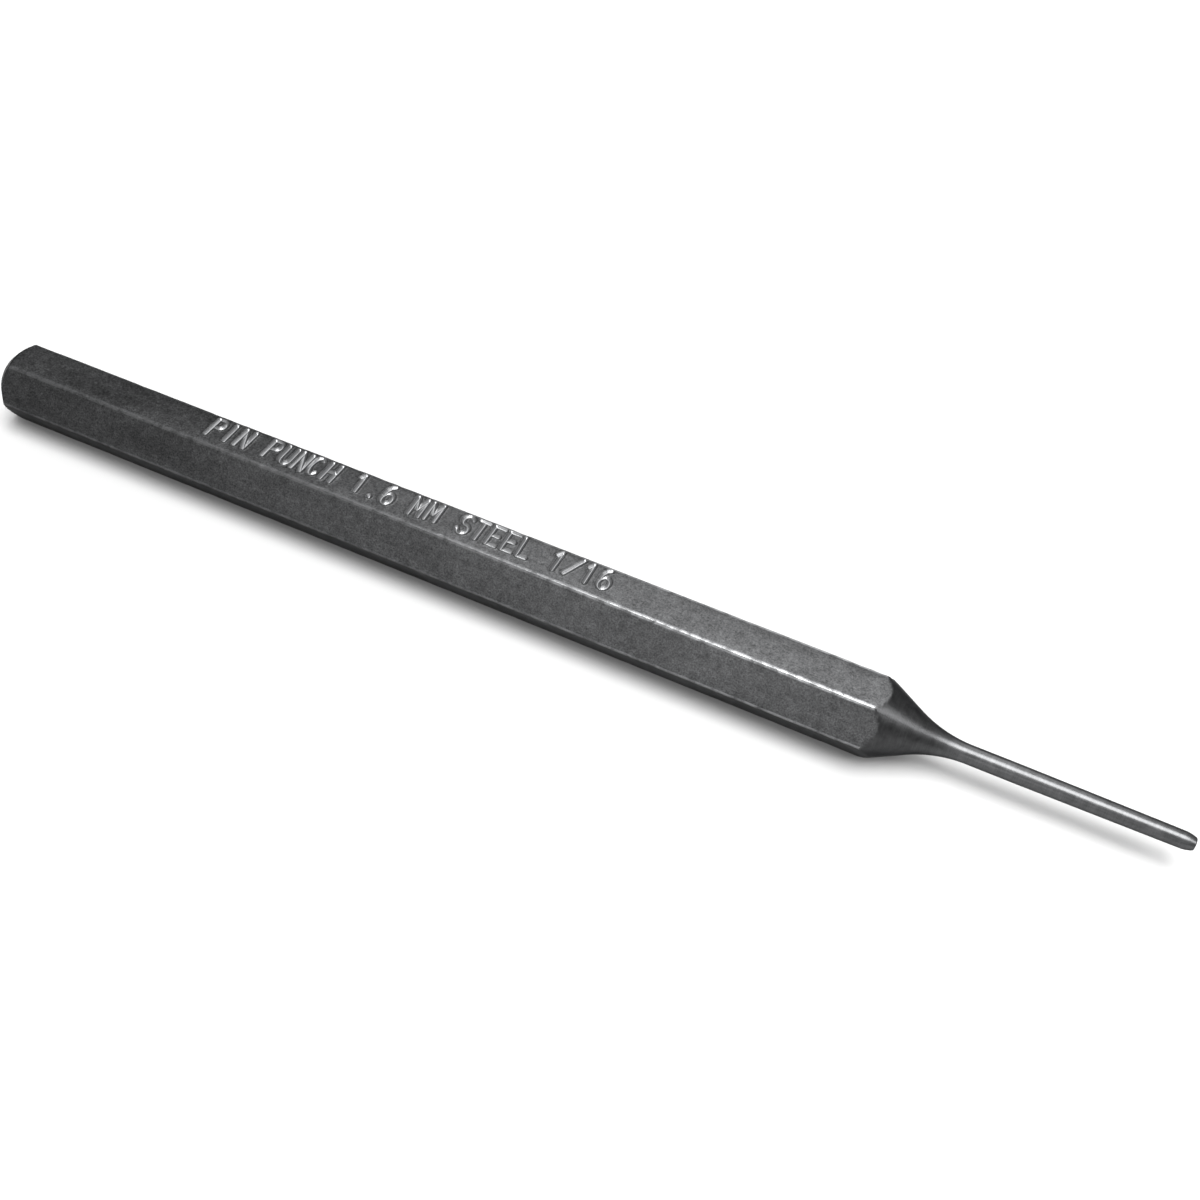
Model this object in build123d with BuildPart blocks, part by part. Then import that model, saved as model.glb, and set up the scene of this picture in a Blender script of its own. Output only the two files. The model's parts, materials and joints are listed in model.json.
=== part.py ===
from build123d import *
import os
from math import cos, pi, radians, sin, sqrt, tan

# One-piece pin punch, lying on one flat of its hexagonal shank.
# Frame: +X runs along the tool, from the struck end to the tip, and +Z is up.
# The origin is on the surface that the tool lies on, under the middle of its length.
# All sizes are in millimetres.

# Overall proportions
overall_length = 107.95  # 4 1/4 in
shank_length = 82.55  # 3 1/4 in, from the struck face to the corners' end at the taper
across_flats = 6.35  # 1/4 in hexagonal bar

# Slim pin, parallel at its root and then narrowing evenly towards the tip
pin_diameter = 1.5875  # 1/16 in, at its root
pin_land_length = 4.0  # parallel part
pin_tip_diameter = 1.42  # where the rounding of the tip starts

# Rolled corners of the bar
corner_radius = 0.3

# Turned taper between the shank and the pin
taper_half_angle = 27.0
neck_radius = 10.0

# Struck end, a flat face inside a 45 degree chamfer
head_chamfer = 1.2
head_edge_radius = 0.25

# Working tip
tip_length = 1.0
tip_radius = 2.5
tip_edge_radius = 0.12

# Space left between the turned envelope and the corners of the bar
envelope_margin = 0.5

# Derived places along the tool, and radii from its axis
axis_height = across_flats / 2
pin_radius = pin_diameter / 2
pin_tip_radius = pin_tip_diameter / 2
hexagon_side_angle = pi / 6
corner_reach = (axis_height - corner_radius) / cos(hexagon_side_angle) + corner_radius
head_face_radius = corner_reach - head_chamfer
x_head = -overall_length / 2
x_tip = overall_length / 2
x_taper = x_head + shank_length
x_tip_round = x_tip - tip_length

# The neck's arc is tangent to the cone and to the parallel root of the pin
taper_angle = radians(taper_half_angle)
neck_tangent = neck_radius * tan(taper_angle / 2)
x_cone_meets_pin = x_taper + (corner_reach - pin_radius) / tan(taper_angle)
x_neck_start = x_cone_meets_pin - neck_tangent * cos(taper_angle)
neck_start_radius = pin_radius + neck_tangent * sin(taper_angle)
x_neck_end = x_cone_meets_pin + neck_tangent
x_land_end = x_neck_end + pin_land_length

# The turned envelope stands clear of the bar's corners, between the chamfer and the cone
clear_radius = corner_reach + envelope_margin
x_chamfer = x_head + head_chamfer + envelope_margin
x_cone = x_taper - envelope_margin / tan(taper_angle)

# The tip's arc is tangent to the pin and ends on the flat end face
tip_face_radius = pin_tip_radius - tip_radius + sqrt(tip_radius**2 - tip_length**2)

axis_plane = Plane(origin=(0, 0, axis_height), x_dir=(1, 0, 0), z_dir=(0, -1, 0))
end_plane = Plane(origin=(x_head, 0, axis_height), x_dir=(0, 1, 0), z_dir=(1, 0, 0))

with BuildPart() as pin_punch:
    # Hexagonal bar with lightly rounded corners, one flat down and one flat up
    with BuildSketch(end_plane) as bar_section:
        RegularPolygon(radius=axis_height, side_count=6, major_radius=False)
        fillet(bar_section.vertices(), radius=corner_radius)
    extrude(amount=overall_length)

    # Turned envelope: chamfered head, full bar, cone, concave neck, slim pin and rounded tip
    with BuildSketch(axis_plane) as envelope:
        with BuildLine():
            head_face = Line((x_head, 0), (x_head, head_face_radius))
            chamfer_line = Line(head_face @ 1, (x_chamfer, clear_radius))
            bar_line = Line(chamfer_line @ 1, (x_cone, clear_radius))
            cone_line = Line(bar_line @ 1, (x_neck_start, neck_start_radius))
            neck_arc = TangentArc(cone_line @ 1, (x_neck_end, pin_radius), tangent=cone_line % 1)
            land_line = Line(neck_arc @ 1, (x_land_end, pin_radius))
            pin_line = Line(land_line @ 1, (x_tip_round, pin_tip_radius))
            tip_arc = TangentArc(pin_line @ 1, (x_tip, tip_face_radius), tangent=pin_line % 1)
            Line(tip_arc @ 1, (x_tip, 0))
            Line((x_tip, 0), (x_head, 0))
        make_face()
        head_corner = envelope.vertices().sort_by_distance(head_face @ 1)[0]
        fillet(head_corner, radius=head_edge_radius)
        tip_corner = envelope.vertices().sort_by_distance(tip_arc @ 1)[0]
        fillet(tip_corner, radius=tip_edge_radius)
    revolve(axis=Axis(axis_plane.origin, (1, 0, 0)), mode=Mode.INTERSECT)

os.makedirs("parts", exist_ok=True)
pin_punch.part.label = "pin_punch"
export_step(pin_punch.part, "parts/pin_punch.step")
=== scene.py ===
"""Pin punch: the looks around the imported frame.

One bar of hexagonal steel in black oxide, with a stamped marking, a chamfered struck end, a
turned taper and a slim round pin. Everything is in metres, in the frame's own axes: +X runs
along the tool to its tip, and +Z is up, out of the marked flat.
"""

import json
import math
import random

import bpy
import numpy as np
from mathutils import Matrix, Vector, noise


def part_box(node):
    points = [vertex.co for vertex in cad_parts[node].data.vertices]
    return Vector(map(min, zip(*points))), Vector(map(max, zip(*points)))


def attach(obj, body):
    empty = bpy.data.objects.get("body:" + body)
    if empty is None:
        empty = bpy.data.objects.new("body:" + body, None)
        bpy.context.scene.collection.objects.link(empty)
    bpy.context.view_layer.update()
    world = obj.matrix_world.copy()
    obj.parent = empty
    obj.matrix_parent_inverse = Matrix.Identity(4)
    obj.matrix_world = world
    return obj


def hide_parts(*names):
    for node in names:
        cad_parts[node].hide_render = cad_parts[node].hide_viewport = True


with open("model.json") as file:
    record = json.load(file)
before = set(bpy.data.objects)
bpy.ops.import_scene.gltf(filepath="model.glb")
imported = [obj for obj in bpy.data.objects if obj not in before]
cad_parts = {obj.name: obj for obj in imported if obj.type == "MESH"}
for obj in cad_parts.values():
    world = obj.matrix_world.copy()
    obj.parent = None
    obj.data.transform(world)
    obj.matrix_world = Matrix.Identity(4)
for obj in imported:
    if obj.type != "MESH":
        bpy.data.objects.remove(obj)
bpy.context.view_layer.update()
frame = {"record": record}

MM = 0.001
QUARTER_TURN = math.pi / 2
NODE = "pin_punch"

# ---------------------------------------------------------------- sizes of the tool

# From the frame
low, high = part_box(NODE)
pin_mount = next(m for m in frame["record"]["mounts"] if m["name"] == "pin")

X_HEAD = low.x
X_TIP = high.x
AXIS_Z = (low.z + high.z) / 2
APOTHEM = (high.z - low.z) / 2
CORNER_REACH = (high.y - low.y) / 2
PIN_RADIUS = pin_mount["dims"]["r_mm"] * MM
LAND_LENGTH = pin_mount["dims"]["length_mm"] * MM
X_PIN_START = pin_mount["pos_m"][0] - LAND_LENGTH / 2
X_LAND_END = pin_mount["pos_m"][0] + LAND_LENGTH / 2

# Details of shape that the frame doesn't name
CORNER_RADIUS = 0.3 * MM
TAPER_ANGLE = math.radians(27.0)
NECK_RADIUS = 10.0 * MM
HEAD_CHAMFER = 1.2 * MM
HEAD_EDGE_RADIUS = 0.25 * MM
PIN_TIP_RADIUS = 0.71 * MM
TIP_LENGTH = 1.0 * MM
TIP_RADIUS = 2.5 * MM
TIP_EDGE_RADIUS = 0.12 * MM

# The cone is tangent to the neck's arc, which is tangent to the pin's parallel root
TAPER_SLOPE = math.tan(TAPER_ANGLE)
NECK_TANGENT = NECK_RADIUS * math.tan(TAPER_ANGLE / 2)
NECK_START_RADIUS = PIN_RADIUS + NECK_TANGENT * math.sin(TAPER_ANGLE)
X_CONE_MEETS_PIN = X_PIN_START - NECK_TANGENT
X_NECK_START = X_CONE_MEETS_PIN - NECK_TANGENT * math.cos(TAPER_ANGLE)
X_TAPER = X_CONE_MEETS_PIN - (CORNER_REACH - PIN_RADIUS) / TAPER_SLOPE
X_CHAMFER = X_HEAD + HEAD_CHAMFER
X_PIN_END = X_TIP - TIP_LENGTH

# The turned envelope meets the bar in a small round, and stands clear of its corners
BLEND = 0.05 * MM
CLEARANCE = 2 * BLEND
CLEAR_RADIUS = CORNER_REACH + CLEARANCE
X_CHAMFER_END = X_CHAMFER + CLEARANCE
X_CONE = X_TAPER - CLEARANCE / TAPER_SLOPE
X_ARCS_END = X_TAPER + (CORNER_REACH - APOTHEM) / TAPER_SLOPE + 2 * CLEARANCE

# The flats of the bar, between its rounded corners, roll off near their edges
SIDES = 6
SIDE_ANGLE = math.tau / SIDES
FLAT_HALF_WIDTH = (APOTHEM - CORNER_RADIUS) * math.tan(SIDE_ANGLE / 2)
ROLL_OFF_WIDTH = 0.45 * MM
ROLL_OFF_DROP = 0.05 * MM

# A flat's slow unevenness, from a noise that is read on a separate line for each side
WAVE_HEIGHT = 0.005 * MM
WAVE_LENGTH = 7 * MM
WAVE_SIDE_STEP = 3.7
WAVE_SLICE = 0.5

# ---------------------------------------------------------------- wear

SEED = 11

# How much the oxide is rubbed off each corner, starting at the upper front one
CORNER_WEAR = (1.0, 0.75, 0.8, 0.8, 0.8, 0.85)
ARRIS_WEAR = 0.6

# Dents along each corner, crowded towards the struck end
NICKS_PER_CORNER = 34
NICK_CROWDING = 1.4
NICK_HALF_LENGTHS = (0.2 * MM, 0.9 * MM)
NICK_DEPTHS = (0.006 * MM, 0.03 * MM)

# ---------------------------------------------------------------- mesh

SHANK_PITCH = 0.3 * MM
ARC_PITCH = 0.05 * MM
TURNED_PITCH = 0.13 * MM
PIN_PITCH = 0.3 * MM
FLAT_COLUMNS = 8
FLAT_EDGE_INSET = 0.08 * MM
CORNER_COLUMNS = 8
HEAD_FACE_RINGS = (0.5 * MM, 1.0 * MM, 1.5 * MM, 2.0 * MM)
HEAD_EDGE_POINTS = 7
TIP_ARC_POINTS = 14
TIP_EDGE_POINTS = 6
TIP_FACE_RINGS = (0.66, 0.33)  # as parts of the face's radius

# ---------------------------------------------------------------- stamped marking

MARKING = "PIN PUNCH 1.6 MM STEEL 1/16"
MARKING_START = X_HEAD + 21.3 * MM
MARKING_PITCH = 1.43 * MM
MARKING_END = MARKING_START + len(MARKING) * MARKING_PITCH
MARKING_BASE = -0.72 * MM
LETTER_HEIGHT = 2.15 * MM
LETTER_WIDTH = 0.92 * MM
STROKE_HALF_WIDTH = 0.23 * MM
STROKE_DEPTH = 0.2 * MM
STROKE_REACH = 3 * STROKE_HALF_WIDTH
CURVE_STEP_DEGREES = 22
CURVE_FEWEST_POINTS = 4

# The fine grid, and the plain flat left round the marking
STAMP_PITCH = 0.048 * MM
STAMP_MARGIN = 0.07 * MM
STAMP_LEAD = 0.6 * MM
STAMP_TAIL = 0.3 * MM

# A stroke's section, in half widths from its middle: round bottom, soft brim, raised burr
WEDGE_BOTTOM = 0.12
BRIM_END = 1.15
BRIM_WIDTH = 0.3
BURR_PLACE = 1.3
BURR_WIDTH = 0.3
BURR_HEIGHT = 0.025 * MM

# How far each character is off true
MOST_TILT_DEGREES = 2.5
SHIFTS_ALONG = (-0.05 * MM, 0.05 * MM)
SHIFTS_ACROSS = (-0.07 * MM, 0.05 * MM)
FORCES = (0.75, 1.1)
MOST_LEAN_ALONG = 0.25
MOST_LEAN_ACROSS = 0.2

# ---------------------------------------------------------------- materials

# Noise cells in each millimetre, along X, Y and Z, and the range that a noise mostly covers
GRAIN_CELLS = (7, 7, 7)
MOTTLE_CELLS = (1.3, 1.3, 1.3)
PATCH_CELLS = (0.11, 0.3, 0.3)
DRAWN_CELLS = (0.25, 9, 9)
LATHE_CELLS = (16, 0.9, 0.9)
FLOOR_CELLS = (0.01, 0.01, 0.01)
NOISE_RANGE = (0.3, 0.7)
GRAIN_RANGE = (0.3, 0.72)
RUBBED_MOTTLE_RANGE = (0.38, 0.6)

# Brightness of the bar's skin and its variations, and painted shade that darkens it towards the
# struck end
SKIN_TONES = (0.032, 0.118)
SKIN_MOTTLE = (0.8, 1.25)
SKIN_PATCHES = (0.82, 1.2)
SKIN_DRAWN = (0.92, 1.08)
SKIN_PAINTED_SHADE_SCALES = (0.66, 1.0)
X_PAINTED_SHADE_END = 10 * MM

# Brightness of the turned metal, from the neck's start to the pin
CUT_TONES = (0.05, 0.088)
CUT_LATHE = (0.85, 1.15)
CUT_MOTTLE = (0.8, 1.2)

# Where a corner or arris is rubbed, and how bright it is there: the rubbed steel is real wear, and
# its brightening towards the tip is a painted highlight
RUBBED_EDGES = (0.55, 1.0)
RUBBED_LEAST = 0.25
RUBBED_TONES_AND_PAINTED_HIGHLIGHT = (0.14, 0.38)
X_PAINTED_RUBBED_HIGHLIGHT = (-15 * MM, 30 * MM)

# The pressed strokes of the marking
PRESSED_DEPTHS = (0.02, 0.35)
PRESSED_MOST = 0.8
PRESSED_TONE = 0.27

STEEL_TINT = (0.99, 1.0, 1.02)
STEEL_EDGE_TINT = (0.4, 0.4, 0.4, 1.0)

SKIN_ROUGHNESS = (0.36, 0.50)
PATCH_ROUGHNESS = (-0.03, 0.04)
CUT_ROUGHNESS = (0.29, 0.37)
RUBBED_ROUGHNESS = 0.3
PRESSED_ROUGHNESS = 0.34

GRAIN_RELIEF = 0.012 * MM
DRAWN_RELIEF = 0.006 * MM
LATHE_RELIEF = 0.0015 * MM
SKIN_GRAIN_STRENGTH = 0.8
DRAWN_STRENGTH = 0.5
LATHE_STRENGTH = 0.6
CUT_GRAIN_STRENGTHS = (0.9, 0.15)

FLOOR_TONES = (0.47, 0.50)
FLOOR_ROUGHNESS = 0.85
FLOOR_SPECULAR = 0.2

# ---------------------------------------------------------------- studio

FLOOR_HALF_SIZE = 1.5
FLOOR_STEPS = 24

AIM = Vector((4.54 * MM, 0.83 * MM, AXIS_Z))
CAMERA_AZIMUTH = math.radians(19.61)
CAMERA_ELEVATION = math.radians(47.52)
CAMERA_ROLL = math.radians(6.85)
CAMERA_DISTANCE = 117.21 * MM
FOCAL_LENGTH = 42.39
SENSOR_WIDTH = 36.0
CLIP_START = 1 * MM

WORLD_RADIANCE = 0.52
KEY_LIGHT = {"direction": (0.14, -0.10, 0.98), "width_degrees": 42, "strength": 4.8}
FILL_LIGHT = {"direction": (0.0, -0.80, 0.60), "width_degrees": 60, "strength": 0.34}
BACK_LIGHT = {
    "place": (-14 * MM, 198 * MM, 222 * MM),
    "aim": (0, 0, 0),
    "width": 230 * MM,
    "depth": 200 * MM,
    "radiance": 2.5,
}
FRONT_LIGHT = {
    "place": (-20 * MM, -288 * MM, 87 * MM),
    "aim": (0, 0, 0),
    "width": 200 * MM,
    "depth": 110 * MM,
    "radiance": 1.6,
}
SIDE_LIGHT = {
    "place": (170 * MM, -11 * MM, 116 * MM),
    "aim": (30 * MM, 0, 0),
    "width": 50 * MM,
    "depth": 60 * MM,
    "radiance": 11.0,
}

# ---------------------------------------------------------------- turned envelope


def spaced(start, end, pitch):
    """Evenly spaced values from start up to, but not including, end."""
    count = max(1, round(abs(end - start) / pitch))
    return np.linspace(start, end, count, endpoint=False)


def arc_points(centre_x, centre_r, radius, start, end, count):
    """Points on an arc in the (x, r) plane, its last point left out."""
    angles = np.linspace(start, end, count, endpoint=False)
    return [(centre_x + radius * math.cos(a), centre_r + radius * math.sin(a)) for a in angles]


def rounded_corner(before, corner, after, radius, count):
    """The points of a fillet between two straight lines, its last point included."""
    corner = np.array(corner)
    to_before = np.array(before) - corner
    to_after = np.array(after) - corner
    to_before /= np.linalg.norm(to_before)
    to_after /= np.linalg.norm(to_after)
    half = math.acos(float(np.clip(to_before @ to_after, -1, 1))) / 2
    middle = to_before + to_after
    centre = corner + middle / np.linalg.norm(middle) * radius / math.sin(half)
    first = corner + to_before * radius / math.tan(half) - centre
    last = corner + to_after * radius / math.tan(half) - centre
    turn = math.acos(float(np.clip(first @ last / radius**2, -1, 1)))
    weights = [(math.sin((1 - s) * turn), math.sin(s * turn)) for s in np.linspace(0, 1, count)]
    return [tuple(centre + (first * a + last * b) / math.sin(turn)) for a, b in weights]


def head_outline():
    """The struck face, its rounded edge, and the chamfer until it stands clear of the bar."""
    face_corner = (X_HEAD, CORNER_REACH - HEAD_CHAMFER)
    chamfer_top = (X_CHAMFER, CORNER_REACH)
    middle = (X_HEAD, 0)
    edge = rounded_corner(middle, face_corner, chamfer_top, HEAD_EDGE_RADIUS, HEAD_EDGE_POINTS)
    x_start, r_start = edge[-1]
    length = X_CHAMFER_END - x_start
    rise = CLEAR_RADIUS - r_start
    steps = spaced(0, 1, ARC_PITCH / length)[1:]
    chamfer = [(x_start + length * s, r_start + rise * s) for s in steps]
    return [(X_HEAD, r) for r in HEAD_FACE_RINGS] + edge + chamfer


def taper_outline():
    """The cone, with its stations closer where the flats run out in arcs, and the neck."""
    close_xs = spaced(X_CONE, X_ARCS_END, ARC_PITCH)
    open_xs = spaced(X_ARCS_END, X_NECK_START, TURNED_PITCH)
    cone = [(x, NECK_START_RADIUS + (X_NECK_START - x) * TAPER_SLOPE) for x in (*close_xs, *open_xs)]
    count = round(NECK_RADIUS * TAPER_ANGLE / TURNED_PITCH)
    start = -QUARTER_TURN - TAPER_ANGLE
    centre_r = PIN_RADIUS + NECK_RADIUS
    return cone + arc_points(X_PIN_START, centre_r, NECK_RADIUS, start, -QUARTER_TURN, count)


def pin_outline():
    """The parallel land at the pin's root, and then the pin as it narrows evenly."""
    land = [(x, PIN_RADIUS) for x in spaced(X_PIN_START, X_LAND_END, PIN_PITCH)]
    narrowing = (PIN_RADIUS - PIN_TIP_RADIUS) / (X_PIN_END - X_LAND_END)
    pin_xs = spaced(X_LAND_END, X_PIN_END, PIN_PITCH)
    return land + [(x, PIN_RADIUS - (x - X_LAND_END) * narrowing) for x in pin_xs]


def tip_outline():
    """The rounding of the tip, the edge of its flat end face, and the face."""
    drop = TIP_RADIUS - math.sqrt(TIP_RADIUS**2 - TIP_LENGTH**2)
    corner = (X_TIP, PIN_TIP_RADIUS - drop)
    slope = math.atan2(TIP_LENGTH, TIP_RADIUS - drop)
    before = (corner[0] - math.cos(slope) * MM, corner[1] + math.sin(slope) * MM)
    edge = rounded_corner(before, corner, (X_TIP, 0), TIP_EDGE_RADIUS, TIP_EDGE_POINTS)
    end = QUARTER_TURN - math.asin((edge[0][0] - X_PIN_END) / TIP_RADIUS)
    centre_r = PIN_TIP_RADIUS - TIP_RADIUS
    arc = arc_points(X_PIN_END, centre_r, TIP_RADIUS, QUARTER_TURN, end, TIP_ARC_POINTS)
    return arc + edge + [(X_TIP, edge[-1][1] * s) for s in TIP_FACE_RINGS]


def envelope():
    """(x, r) stations of the turned outline, from the struck face's middle to the tip's."""
    bar = [(x, CLEAR_RADIUS) for x in spaced(X_CHAMFER_END, X_CONE, SHANK_PITCH)]
    return np.array(head_outline() + bar + taper_outline() + pin_outline() + tip_outline())


# ---------------------------------------------------------------- bar section


def corner_nearness(t):
    """How near a corner a place on a flat is: 0 over most of the flat, and 1 at its edge."""
    return np.maximum(0, 1 - (FLAT_HALF_WIDTH - np.abs(t)) / ROLL_OFF_WIDTH) ** 2


def roll_off(t):
    """How far a rolled flat falls away towards its corners, at t across from its middle."""
    return ROLL_OFF_DROP * corner_nearness(t)


def section():
    """The rounded hexagon as (y, z) points round the axis, with how near each is to a corner.

    Side 0 faces up. Each side's points run the way the angle grows, from +Y towards +Z, and
    its rounded corner follows.
    """
    inner_end = FLAT_HALF_WIDTH - FLAT_EDGE_INSET
    inner = np.linspace(-inner_end, inner_end, FLAT_COLUMNS - 1)
    across = np.concatenate([[-FLAT_HALF_WIDTH], inner, [FLAT_HALF_WIDTH]])
    worn_radius = CORNER_RADIUS - roll_off(FLAT_HALF_WIDTH)
    points, nearness = [], []
    for side in range(SIDES):
        normal_angle = QUARTER_TURN + side * SIDE_ANGLE
        normal = np.array([math.cos(normal_angle), math.sin(normal_angle)])
        along = np.array([-normal[1], normal[0]])
        for t in across:
            points.append(normal * (APOTHEM - roll_off(t)) + along * t)
            nearness.append(corner_nearness(t))
        centre = normal * (APOTHEM - CORNER_RADIUS) + along * FLAT_HALF_WIDTH
        for k in range(1, CORNER_COLUMNS):
            angle = normal_angle + SIDE_ANGLE * k / CORNER_COLUMNS
            out = np.array([math.cos(angle), math.sin(angle)])
            points.append(centre + out * worn_radius)
            nearness.append(1.0)
    return np.array(points), np.array(nearness)


def soft_min(a, b):
    """The smaller of two radii, with a small round where they meet."""
    h = np.clip(0.5 + 0.5 * (b - a) / BLEND, 0, 1)
    return b * (1 - h) + a * h - BLEND * h * (1 - h)


# ---------------------------------------------------------------- small faults of a used tool


def make_nicks(rng):
    """Small dents along each corner: (corner, x, half length, depth)."""
    nicks = []
    for corner in range(SIDES):
        for _ in range(NICKS_PER_CORNER):
            x = X_CHAMFER + (X_TAPER - X_CHAMFER) * rng.random() ** NICK_CROWDING
            half_length = rng.uniform(*NICK_HALF_LENGTHS)
            depth = rng.uniform(*NICK_DEPTHS)
            nicks.append((corner, x, half_length, depth))
    return nicks


def nick_depths(xs, nicks):
    """Depth of the dents at each station, one column for each corner."""
    depths = np.zeros((len(xs), SIDES))
    for corner, x, half_length, depth in nicks:
        inside = np.clip(1 - ((xs - x) / half_length) ** 2, 0, 1)
        depths[:, corner] = np.maximum(depths[:, corner], depth * inside)
    return depths


def waviness(x, side):
    """The slow, slight unevenness of a rolled flat."""
    return WAVE_HEIGHT * noise.noise(Vector((x / WAVE_LENGTH, side * WAVE_SIDE_STEP, WAVE_SLICE)))


# ---------------------------------------------------------------- making the stamped marking


def curve_points(centre_x, centre_y, radius_x, radius_y, start, end):
    """A run of short straight strokes round part of an ellipse, angles in degrees."""
    count = max(CURVE_FEWEST_POINTS, round(abs(end - start) / CURVE_STEP_DEGREES))
    angles = np.radians(np.linspace(start, end, count))
    return [(centre_x + radius_x * math.cos(a), centre_y + radius_y * math.sin(a)) for a in angles]


def glyphs():
    """Plain one-stroke capitals and figures in a box 1 wide and 1 high, as lists of runs."""
    upper_bowl = [(0, 1), (0.55, 1), *curve_points(0.55, 0.75, 0.45, 0.25, 90, -90), (0, 0.5)]
    lower_cup = [(0, 1), *curve_points(0.5, 0.32, 0.5, 0.32, 180, 360), (1, 1)]
    upper_hook = curve_points(0.5, 0.76, 0.46, 0.24, 20, 270)
    lower_hook = curve_points(0.5, 0.26, 0.5, 0.26, 90, -160)
    six_back = curve_points(0.62, 0.52, 0.62, 0.48, 95, 180)
    six_ring = curve_points(0.5, 0.3, 0.5, 0.3, 0, 360)
    return {
        "C": [curve_points(0.5, 0.5, 0.5, 0.5, 45, 315)],
        "E": [[(1, 1), (0, 1), (0, 0), (1, 0)], [(0, 0.5), (0.8, 0.5)]],
        "H": [[(0, 0), (0, 1)], [(1, 0), (1, 1)], [(0, 0.5), (1, 0.5)]],
        "I": [[(0.5, 0), (0.5, 1)]],
        "L": [[(0, 1), (0, 0), (0.9, 0)]],
        "M": [[(0, 0), (0, 1), (0.5, 0.35), (1, 1), (1, 0)]],
        "N": [[(0, 0), (0, 1), (1, 0), (1, 1)]],
        "P": [[(0, 0), (0, 1)], upper_bowl],
        "S": [upper_hook, lower_hook],
        "T": [[(0, 1), (1, 1)], [(0.5, 1), (0.5, 0)]],
        "U": [lower_cup],
        "1": [[(0.2, 0.78), (0.5, 1), (0.5, 0)]],
        "6": [six_back, six_ring],
        ".": [[(0.5, 0.02), (0.5, 0.04)]],
        "/": [[(0, 0), (1, 1)]],
    }


def place_run(run, origin_x, origin_y, tilt):
    """A glyph's run of strokes at its real size, tilted and set in its place on the flat."""
    placed = []
    for u, v in run:
        px, py = u * LETTER_WIDTH, v * LETTER_HEIGHT
        placed.append((
            origin_x + px * math.cos(tilt) - py * math.sin(tilt),
            origin_y + px * math.sin(tilt) + py * math.cos(tilt),
        ))
    return placed


def distance_to_run(xs, ys, run):
    """Distance of each grid point from a run of straight strokes, some of which have no length."""
    best = np.full(xs.shape, np.inf)
    for (ax, ay), (bx, by) in zip(run, run[1:]):
        dx, dy = bx - ax, by - ay
        square = dx * dx + dy * dy
        if square == 0:
            continue
        t = np.clip(((xs - ax) * dx + (ys - ay) * dy) / square, 0, 1)
        best = np.minimum(best, np.hypot(xs - ax - t * dx, ys - ay - t * dy))
    return best


def soft_wedge(across):
    """Depth of half a V-shaped stroke, 1 at its bottom and 0 at its brim, both softened."""
    brim = np.clip((BRIM_END - across) / BRIM_WIDTH, 0, 1)
    wedge = 1 - np.sqrt(across**2 + WEDGE_BOTTOM**2) + WEDGE_BOTTOM
    return np.clip(wedge * brim, 0, 1)


def stamp(xs, ys, rng):
    """Height of the stamped flat over its plane, and how deep in a stroke each point is.

    Every character was struck by its own punch, so each sits a little off line and is struck
    a little deeper on one side. A space draws its random numbers too.
    """
    height = np.zeros(xs.shape)
    depth_mask = np.zeros(xs.shape)
    shapes = glyphs()
    for place, character in enumerate(MARKING):
        tilt = math.radians(rng.uniform(-MOST_TILT_DEGREES, MOST_TILT_DEGREES))
        origin_x = MARKING_START + place * MARKING_PITCH + rng.uniform(*SHIFTS_ALONG)
        origin_y = MARKING_BASE + rng.uniform(*SHIFTS_ACROSS)
        force = rng.uniform(*FORCES)
        lean_x = rng.uniform(-MOST_LEAN_ALONG, MOST_LEAN_ALONG)
        lean_y = rng.uniform(-MOST_LEAN_ACROSS, MOST_LEAN_ACROSS)
        if character not in shapes:
            continue
        near = (xs > origin_x - STROKE_REACH) & (xs < origin_x + LETTER_WIDTH + STROKE_REACH)
        near_x, near_y = xs[near], ys[near]
        nearest = np.full(near_x.shape, np.inf)
        for run in shapes[character]:
            placed = place_run(run, origin_x, origin_y, tilt)
            nearest = np.minimum(nearest, distance_to_run(near_x, near_y, placed))
        u = (near_x - origin_x) / LETTER_WIDTH - 0.5
        v = (near_y - origin_y) / LETTER_HEIGHT - 0.5
        pressed = force * (1 + lean_x * u + lean_y * v)
        across = nearest / STROKE_HALF_WIDTH
        groove = soft_wedge(across)
        burr = np.exp(-(((across - BURR_PLACE) / BURR_WIDTH) ** 2))
        height[near] += pressed * (BURR_HEIGHT * burr - STROKE_DEPTH * groove)
        depth_mask[near] = np.maximum(depth_mask[near], groove * pressed)
    return height, depth_mask


# ---------------------------------------------------------------- making the mesh


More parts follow.
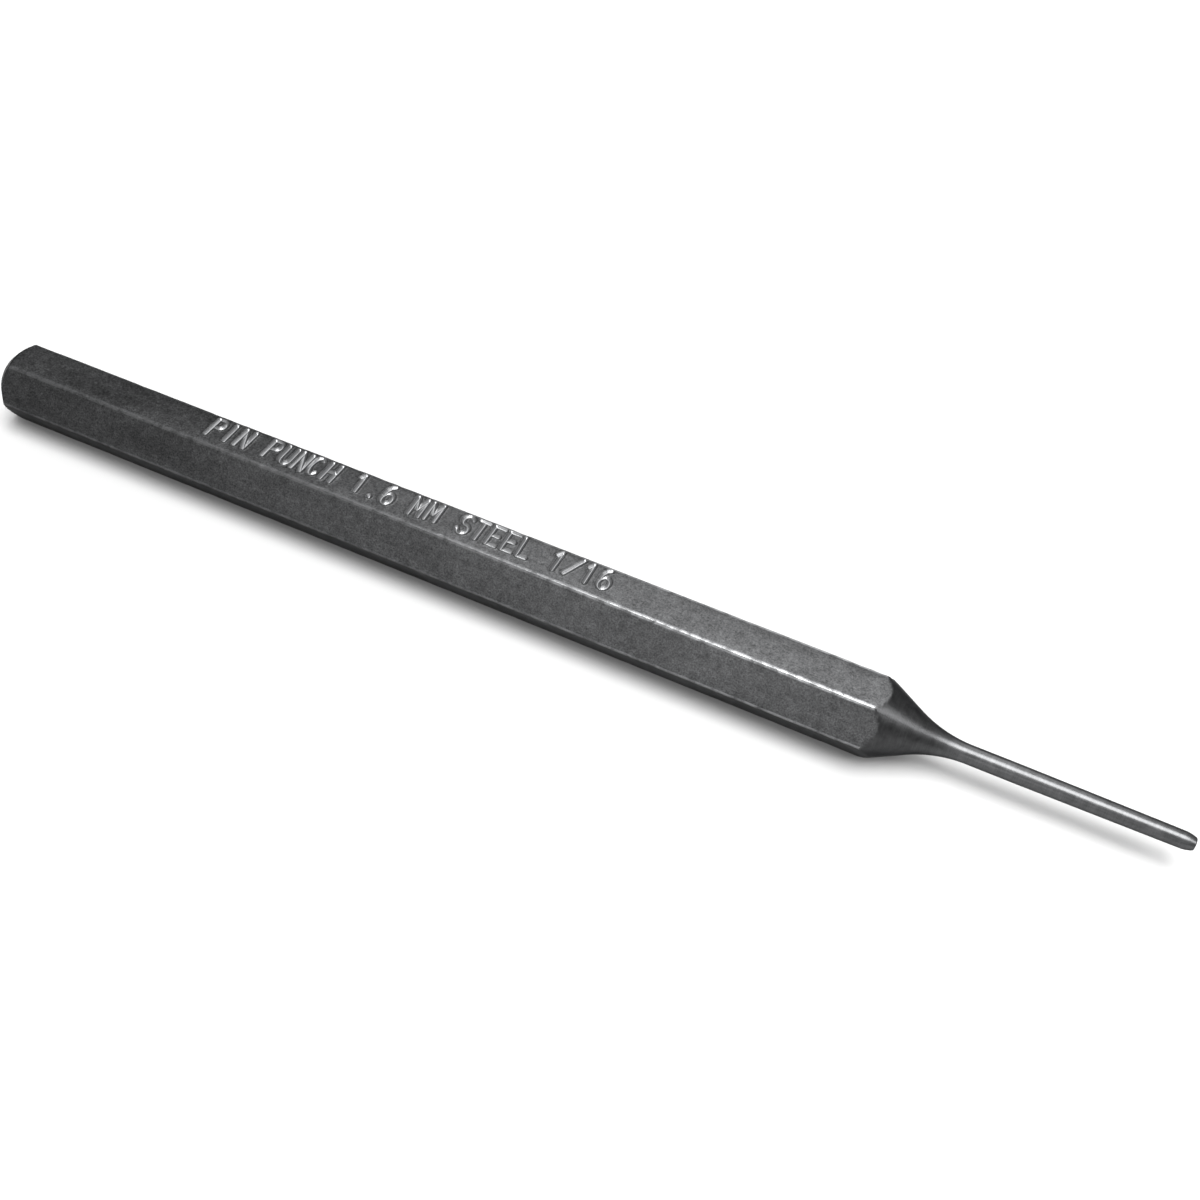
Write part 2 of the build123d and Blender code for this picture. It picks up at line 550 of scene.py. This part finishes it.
class MeshBuilder:
    """Points with their surface values, and faces."""

    def __init__(self):
        self.points = []
        self.faces = []
        self.values = {"turned": [], "edge": [], "stamped": []}

    def add(self, point, turned=0.0, edge=0.0, stamped=0.0):
        self.points.append(point)
        self.values["turned"].append(turned)
        self.values["edge"].append(edge)
        self.values["stamped"].append(stamped)
        return len(self.points) - 1

    def fill_grid(self, lines):
        """Four-sided faces between lines of points that have the same length."""
        for line, following in zip(lines, lines[1:]):
            for j in range(len(line) - 1):
                self.faces.append((line[j], following[j], following[j + 1], line[j + 1]))

    def zip_strip(self, outer, inner, axis):
        """Triangles between two rows of points that run the same way along an axis."""
        i = j = 0
        sign = 1 if self.points[outer[-1]][axis] > self.points[outer[0]][axis] else -1
        while i < len(outer) - 1 or j < len(inner) - 1:
            if j == len(inner) - 1:
                step_outer = True
            elif i == len(outer) - 1:
                step_outer = False
            else:
                next_outer = self.points[outer[i + 1]][axis] * sign
                next_inner = self.points[inner[j + 1]][axis] * sign
                step_outer = next_outer <= next_inner
            if step_outer:
                self.faces.append((outer[i], outer[i + 1], inner[j]))
                i += 1
            else:
                self.faces.append((outer[i], inner[j + 1], inner[j]))
                j += 1

    def turn_over(self):
        """Face every face the other way."""
        self.faces = [face[::-1] for face in self.faces]

    def drop_unused(self):
        """Leave out the points that no face uses."""
        used = sorted({i for face in self.faces for i in face})
        renumbered = {old: new for new, old in enumerate(used)}
        self.points = [self.points[i] for i in used]
        self.values = {key: [values[i] for i in used] for key, values in self.values.items()}
        self.faces = [tuple(renumbered[i] for i in face) for face in self.faces]

    def object(self, name):
        """The finished mesh, linked into the scene."""
        mesh = bpy.data.meshes.new(name)
        mesh.from_pydata([tuple(p) for p in self.points], [], self.faces)
        for key, values in self.values.items():
            attribute = mesh.attributes.new(key, "FLOAT", "POINT")
            attribute.data.foreach_set("value", np.array(values, dtype=np.float32))
        mesh.validate()
        mesh.shade_smooth()
        piece = bpy.data.objects.new(name, mesh)
        bpy.context.scene.collection.objects.link(piece)
        return piece


def add_ring(builder, x, turned_radius, dents, ring, nearness):
    """One ring of points: the bar's section, cut down to the turned radius where that is less."""
    reach = np.hypot(ring[:, 0], ring[:, 1])
    directions = ring / reach[:, None]
    radii = soft_min(reach, turned_radius)
    on_bar = np.clip((turned_radius - radii) / BLEND, 0, 1)
    row = []
    for j in range(len(ring)):
        side, place = divmod(j, len(ring) // SIDES)
        corner = side if place > FLAT_COLUMNS / 2 else (side - 1) % SIDES
        dent = dents[corner] * nearness[j] * on_bar[j]
        wave = waviness(x, side) * on_bar[j] * (1 - nearness[j])
        r = radii[j] - dent + wave
        arris = 1 - abs(2 * on_bar[j] - 1)
        worn = nearness[j] * on_bar[j] * CORNER_WEAR[corner]
        point = (x, directions[j, 0] * r, AXIS_Z + directions[j, 1] * r)
        row.append(builder.add(point, turned=1 - on_bar[j], edge=max(worn, ARRIS_WEAR * arris)))
    return row


def join_rings(builder, rows, stamp_from, stamp_to):
    """Faces between the rings, apart from the stretch of the upper flat that is stamped."""
    columns = len(rows[0])
    for i in range(len(rows) - 1):
        for j in range(columns):
            if stamp_from <= i < stamp_to and j < FLAT_COLUMNS:
                continue
            k = (j + 1) % columns
            builder.faces.append((rows[i][j], rows[i + 1][j], rows[i + 1][k], rows[i][k]))


def close_end(builder, row, x, flip):
    """A fan from a ring to the middle of its end face."""
    middle = builder.add((x, 0.0, AXIS_Z), turned=1.0)
    for j, a in enumerate(row):
        b = row[(j + 1) % len(row)]
        builder.faces.append((b, a, middle) if flip else (a, b, middle))


def add_stamp_grid(builder, x_from, x_to, rng):
    """The stamped part of the upper flat, as a fine grid of its own."""
    half = FLAT_HALF_WIDTH - STAMP_MARGIN
    x_count = round((x_to - x_from) / STAMP_PITCH)
    x_line = np.linspace(x_from + STAMP_MARGIN, x_to - STAMP_MARGIN, x_count)
    y_line = np.linspace(half, -half, round(2 * half / STAMP_PITCH))
    grid_x, grid_y = np.meshgrid(x_line, y_line, indexing="ij")
    height, mask = stamp(grid_x, grid_y, rng)
    height -= roll_off(grid_y)
    grid = []
    for i, x in enumerate(x_line):
        wave = waviness(x, 0)
        line = []
        for j, y in enumerate(y_line):
            near = corner_nearness(y)
            z = AXIS_Z + APOTHEM + height[i, j] + wave * (1 - near)
            worn = near * CORNER_WEAR[-1 if y > 0 else 0]
            line.append(builder.add((x, y, z), edge=worn, stamped=mask[i, j]))
        grid.append(line)
    builder.fill_grid(grid)
    return grid


def join_stamp_grid(builder, grid, rows):
    """Strips between the fine grid and the coarse mesh round it."""
    back = [row[0] for row in rows]
    front = [row[FLAT_COLUMNS] for row in rows]
    head = rows[0][: FLAT_COLUMNS + 1]
    tip = rows[-1][: FLAT_COLUMNS + 1]
    builder.zip_strip(back, [line[0] for line in grid], 0)
    builder.zip_strip([line[-1] for line in grid], front, 0)
    builder.zip_strip(grid[0], head, 1)
    builder.zip_strip(tip, grid[-1], 1)


def build_punch():
    """The whole tool as one closed mesh: rings round the axis, and a fine grid where it's stamped."""
    rng = random.Random(SEED)
    builder = MeshBuilder()
    stations = envelope()
    xs = stations[:, 0]
    dents = nick_depths(xs, make_nicks(rng))
    bar = section()
    rows = [add_ring(builder, x, r, row_dents, *bar) for (x, r), row_dents in zip(stations, dents)]
    stamp_from = int(np.searchsorted(xs, MARKING_START - STAMP_LEAD))
    stamp_to = int(np.searchsorted(xs, MARKING_END + STAMP_TAIL))
    join_rings(builder, rows, stamp_from, stamp_to)
    grid = add_stamp_grid(builder, xs[stamp_from], xs[stamp_to], rng)
    join_stamp_grid(builder, grid, rows[stamp_from : stamp_to + 1])
    close_end(builder, rows[0], X_HEAD, flip=False)
    close_end(builder, rows[-1], X_TIP, flip=True)
    builder.turn_over()
    builder.drop_unused()
    return builder.object("punch_body")


# ---------------------------------------------------------------- making the materials


class Nodes:
    """A little help for writing node trees as expressions."""

    def __init__(self, name):
        self.material = bpy.data.materials.new(name)
        self.material.use_nodes = True
        self.tree = self.material.node_tree
        self.tree.nodes.clear()
        output = self.tree.nodes.new("ShaderNodeOutputMaterial")
        self.shader = self.tree.nodes.new("ShaderNodeBsdfPrincipled")
        self.tree.links.new(self.shader.outputs[0], output.inputs["Surface"])
        self.place = self.new("ShaderNodeTexCoord").outputs["Object"]

    def new(self, kind, **settings):
        node = self.tree.nodes.new(kind)
        for key, value in settings.items():
            setattr(node, key, value)
        return node

    def feed(self, socket, value):
        """Link a socket to another, or set its own value."""
        if isinstance(value, bpy.types.NodeSocket):
            self.tree.links.new(value, socket)
        else:
            socket.default_value = value

    def attribute(self, name):
        return self.new("ShaderNodeAttribute", attribute_name=name).outputs["Fac"]

    def stretched(self, per_mm):
        """Object coordinates scaled to so many units for each millimetre along X, Y and Z."""
        mapping = self.new("ShaderNodeMapping")
        self.feed(mapping.inputs["Vector"], self.place)
        mapping.inputs["Scale"].default_value = tuple(s / MM for s in per_mm)
        return mapping.outputs[0]

    def noise(self, per_mm, detail, roughness=0.55, distortion=0.0):
        node = self.new("ShaderNodeTexNoise")
        self.feed(node.inputs["Vector"], self.stretched(per_mm))
        node.inputs["Scale"].default_value = 1.0
        node.inputs["Detail"].default_value = detail
        node.inputs["Roughness"].default_value = roughness
        node.inputs["Distortion"].default_value = distortion
        return node.outputs["Fac"]

    def math(self, operation, a, b):
        node = self.new("ShaderNodeMath", operation=operation)
        self.feed(node.inputs[0], a)
        self.feed(node.inputs[1], b)
        return node.outputs[0]

    def times(self, a, b):
        return self.math("MULTIPLY", a, b)

    def ranged(self, value, range_in, range_out, smooth=False):
        """A value carried from one range to another, and kept inside it."""
        node = self.new("ShaderNodeMapRange", clamp=True)
        if smooth:
            node.interpolation_type = "SMOOTHSTEP"
        for socket, v in zip(node.inputs, (value, *range_in, *range_out)):
            self.feed(socket, v)
        return node.outputs[0]

    def varied(self, noise_value, range_out):
        """A noise's usual range, carried to another."""
        return self.ranged(noise_value, NOISE_RANGE, range_out)

    def along(self, xs, values):
        """A value that changes smoothly along the tool, between two places on its axis."""
        split = self.new("ShaderNodeSeparateXYZ")
        self.feed(split.inputs[0], self.place)
        return self.ranged(split.outputs[0], xs, values, smooth=True)

    def mix(self, factor, a, b):
        node = self.new("ShaderNodeMix", data_type="FLOAT")
        self.feed(node.inputs[0], factor)
        self.feed(node.inputs[2], a)
        self.feed(node.inputs[3], b)
        return node.outputs[0]

    def mix_vectors(self, factor, a, b):
        node = self.new("ShaderNodeMix", data_type="VECTOR")
        self.feed(node.inputs[0], factor)
        self.feed(node.inputs[4], a)
        self.feed(node.inputs[5], b)
        return node.outputs[1]

    def grey(self, value, tint=(1.0, 1.0, 1.0)):
        """A colour from one brightness, tinted."""
        node = self.new("ShaderNodeCombineColor")
        for socket, t in zip(node.inputs, tint):
            self.feed(socket, self.times(value, t))
        return node.outputs[0]

    def bump(self, height, distance, strength, normal=None):
        node = self.new("ShaderNodeBump")
        self.feed(node.inputs["Strength"], strength)
        node.inputs["Distance"].default_value = distance
        self.feed(node.inputs["Height"], height)
        if normal is not None:
            self.feed(node.inputs["Normal"], normal)
        return node.outputs[0]


class SteelTextures:
    """The noises and masks that the steel's colour, roughness and relief share."""

    def __init__(self, n):
        self.turned = n.attribute("turned")
        self.grain = n.noise(GRAIN_CELLS, detail=4.0, roughness=0.65)
        self.mottle = n.noise(MOTTLE_CELLS, detail=4.0, roughness=0.6, distortion=0.4)
        self.patches = n.noise(PATCH_CELLS, detail=3.0)
        self.drawn = n.noise(DRAWN_CELLS, detail=3.0, roughness=0.6)
        self.lathe = n.noise(LATHE_CELLS, detail=3.0, roughness=0.6)
        edges = n.ranged(n.attribute("edge"), RUBBED_EDGES, (0.0, 1.0), smooth=True)
        self.rubbed = n.times(edges, n.ranged(self.mottle, RUBBED_MOTTLE_RANGE, (RUBBED_LEAST, 1.0)))
        self.pressed = n.ranged(n.attribute("stamped"), PRESSED_DEPTHS, (0.0, PRESSED_MOST))


def steel_tone(n, textures):
    """Brightness of the bare reflection: bar skin, turned metal, rubbed corners, marking, with
    painted shade on the skin towards the struck end and a painted highlight on the rubbed corners
    towards the tip.
    """
    skin = n.ranged(textures.grain, GRAIN_RANGE, SKIN_TONES)
    # painted shade: the skin is darker towards the struck end, standing in for light that falls off
    # there
    skin = n.times(skin, n.along((X_HEAD, X_PAINTED_SHADE_END), SKIN_PAINTED_SHADE_SCALES))
    skin = n.times(skin, n.varied(textures.mottle, SKIN_MOTTLE))
    skin = n.times(skin, n.varied(textures.patches, SKIN_PATCHES))
    skin = n.times(skin, n.varied(textures.drawn, SKIN_DRAWN))
    cut = n.times(n.varied(textures.lathe, CUT_LATHE), n.varied(textures.mottle, CUT_MOTTLE))
    cut = n.times(cut, n.along((X_NECK_START, X_PIN_START), CUT_TONES))
    surface = n.mix(textures.turned, skin, cut)
    # rubbed corners are real wear; their brightening towards the tip is a painted highlight
    surface = n.mix(textures.rubbed, surface, n.along(X_PAINTED_RUBBED_HIGHLIGHT, RUBBED_TONES_AND_PAINTED_HIGHLIGHT))
    return n.mix(textures.pressed, surface, PRESSED_TONE)


def steel_roughness(n, textures):
    """Roughness of the same four kinds of surface."""
    patches = n.varied(textures.patches, PATCH_ROUGHNESS)
    skin = n.math("ADD", n.varied(textures.grain, SKIN_ROUGHNESS), patches)
    rough = n.mix(textures.turned, skin, n.varied(textures.mottle, CUT_ROUGHNESS))
    rough = n.mix(textures.rubbed, rough, RUBBED_ROUGHNESS)
    return n.mix(textures.pressed, rough, PRESSED_ROUGHNESS)


def steel_relief(n, textures):
    """Normals of the grainy, drawn bar and of the turned metal, which is smoother at the pin."""
    pebbles = n.bump(textures.grain, GRAIN_RELIEF, SKIN_GRAIN_STRENGTH)
    bar_relief = n.bump(textures.drawn, DRAWN_RELIEF, DRAWN_STRENGTH, pebbles)
    lathe_lines = n.bump(textures.lathe, LATHE_RELIEF, LATHE_STRENGTH)
    grain_strength = n.along((X_NECK_START, X_PIN_START), CUT_GRAIN_STRENGTHS)
    turned_relief = n.bump(textures.grain, GRAIN_RELIEF, grain_strength, lathe_lines)
    return n.mix_vectors(textures.turned, bar_relief, turned_relief)


def blackened_steel():
    """Black oxide over rolled bar, with the turned, rubbed and stamped places each their own tone."""
    n = Nodes("blackened_steel")
    textures = SteelTextures(n)
    n.feed(n.shader.inputs["Base Color"], n.grey(steel_tone(n, textures), STEEL_TINT))
    n.feed(n.shader.inputs["Roughness"], steel_roughness(n, textures))
    n.feed(n.shader.inputs["Normal"], steel_relief(n, textures))
    n.shader.inputs["Metallic"].default_value = 1.0
    n.shader.inputs["Specular Tint"].default_value = STEEL_EDGE_TINT
    return n.material


def pale_floor():
    """A plain pale studio surface with the faintest unevenness of tone."""
    n = Nodes("pale_floor")
    tone = n.varied(n.noise(FLOOR_CELLS, detail=2.0), FLOOR_TONES)
    n.feed(n.shader.inputs["Base Color"], n.grey(tone))
    n.shader.inputs["Roughness"].default_value = FLOOR_ROUGHNESS
    n.shader.inputs["Specular IOR Level"].default_value = FLOOR_SPECULAR
    return n.material


# ---------------------------------------------------------------- making the studio


def make_floor():
    """A wide flat sheet that carries the tool."""
    builder = MeshBuilder()
    places = [FLOOR_HALF_SIZE * (2 * i / FLOOR_STEPS - 1) for i in range(FLOOR_STEPS + 1)]
    builder.fill_grid([[builder.add((x, y, 0.0)) for y in places] for x in places])
    floor = builder.object("studio_floor")
    floor.data.materials.append(pale_floor())


def make_light(name, place, aim, width, depth, radiance):
    """A soft box that faces a point."""
    light = bpy.data.lights.new(name, "AREA")
    light.shape = "RECTANGLE"
    light.size = width
    light.size_y = depth
    light.energy = radiance * math.pi * width * depth
    box = bpy.data.objects.new(name, light)
    box.location = place
    box.rotation_euler = (Vector(aim) - Vector(place)).to_track_quat("-Z", "Y").to_euler()
    box.visible_camera = False
    bpy.context.scene.collection.objects.link(box)


def make_far_light(name, direction, width_degrees, strength):
    """A wide, distant soft light, given by the direction that it stands in."""
    light = bpy.data.lights.new(name, "SUN")
    light.angle = math.radians(width_degrees)
    light.energy = strength
    lamp = bpy.data.objects.new(name, light)
    lamp.rotation_euler = (-Vector(direction)).to_track_quat("-Z", "Y").to_euler()
    bpy.context.scene.collection.objects.link(lamp)


def make_world():
    """Even white light from all round."""
    world = bpy.data.worlds.new("studio")
    world.use_nodes = True
    background = world.node_tree.nodes["Background"]
    background.inputs["Color"].default_value = (1.0, 1.0, 1.0, 1.0)
    background.inputs["Strength"].default_value = WORLD_RADIANCE
    bpy.context.scene.world = world


def make_camera():
    """The camera stands before the tool, above it and towards the tip, rolled a little."""
    out = Vector((
        math.sin(CAMERA_AZIMUTH) * math.cos(CAMERA_ELEVATION),
        -math.cos(CAMERA_AZIMUTH) * math.cos(CAMERA_ELEVATION),
        math.sin(CAMERA_ELEVATION),
    ))
    data = bpy.data.cameras.new("camera")
    data.sensor_width = SENSOR_WIDTH
    data.lens = FOCAL_LENGTH
    data.clip_start = CLIP_START
    camera = bpy.data.objects.new("camera", data)
    place = Matrix.Translation(AIM + out * CAMERA_DISTANCE)
    level = (-out).to_track_quat("-Z", "Y").to_matrix().to_4x4()
    camera.matrix_world = place @ level @ Matrix.Rotation(CAMERA_ROLL, 4, "Z")
    bpy.context.scene.collection.objects.link(camera)
    bpy.context.scene.camera = camera


bpy.context.scene.view_settings.view_transform = "Standard"

make_camera()
make_world()
make_floor()
make_far_light("key_light", **KEY_LIGHT)
make_far_light("fill_light", **FILL_LIGHT)
make_light("back_light", **BACK_LIGHT)
make_light("front_light", **FRONT_LIGHT)
make_light("side_light", **SIDE_LIGHT)

punch = build_punch()
punch.data.materials.append(blackened_steel())
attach(punch, "root")
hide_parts(NODE)
